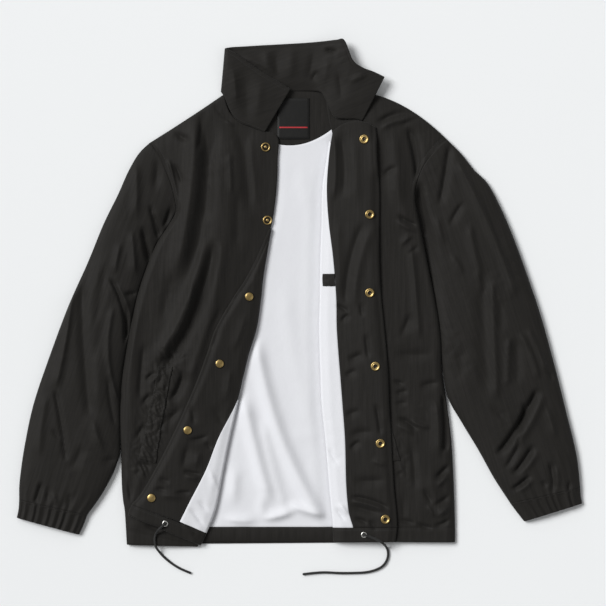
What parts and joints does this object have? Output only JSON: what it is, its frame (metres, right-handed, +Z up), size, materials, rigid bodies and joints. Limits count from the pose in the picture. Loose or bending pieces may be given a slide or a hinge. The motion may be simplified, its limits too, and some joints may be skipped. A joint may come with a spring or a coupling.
{
  "type": "coach jacket",
  "caption": "Black nylon coach jacket laid flat and open, both fronts turned back, point collar, snap front, elastic cuffs, drawcord hem, white lining.",
  "frame": {"origin": "middle of the footprint, on the surface that the jacket lies on", "axes": "+Z up from the surface, +Y from the hem to the collar, +X towards the wearer's left sleeve"},
  "size_m": [0.904, 0.8565, 0.0227],
  "materials": {
    "nylon": "black woven nylon with a soft sheen",
    "lining": "white thin lining cloth",
    "label": "black woven satin",
    "snap_metal": "old brass plating",
    "eyelet_metal": "nickel plating",
    "cord": "black round braided cord"
  },
  "bodies": {
    "root": {"back": "nylon", "collar": "nylon", "cord_left": "cord", "cord_right": "cord", "cuff_left": "nylon", "cuff_right": "nylon", "eyelet_left": "eyelet_metal", "eyelet_right": "eyelet_metal", "facing_left": "nylon", "facing_right": "nylon", "front_left": "nylon", "front_right": "nylon", "hem_casing_back": "nylon", "hem_casing_left": "nylon", "hem_casing_right": "nylon", "inner_pocket_welt": "nylon", "label": "label", "lining_back": "lining", "lining_left": "lining", "lining_right": "lining", "neck_facing": "nylon", "pocket_welt_left": "nylon", "pocket_welt_right": "nylon", "sleeve_left": "nylon", "sleeve_right": "nylon", "snap_back_1": "snap_metal", "snap_back_2": "snap_metal", "snap_back_3": "snap_metal", "snap_back_4": "snap_metal", "snap_socket_1": "snap_metal", "snap_socket_2": "snap_metal", "snap_socket_3": "snap_metal", "snap_socket_4": "snap_metal", "snap_socket_5": "snap_metal", "snap_socket_6": "snap_metal", "snap_stud_1": "snap_metal", "snap_stud_2": "snap_metal"}
  },
  "joints": []
}
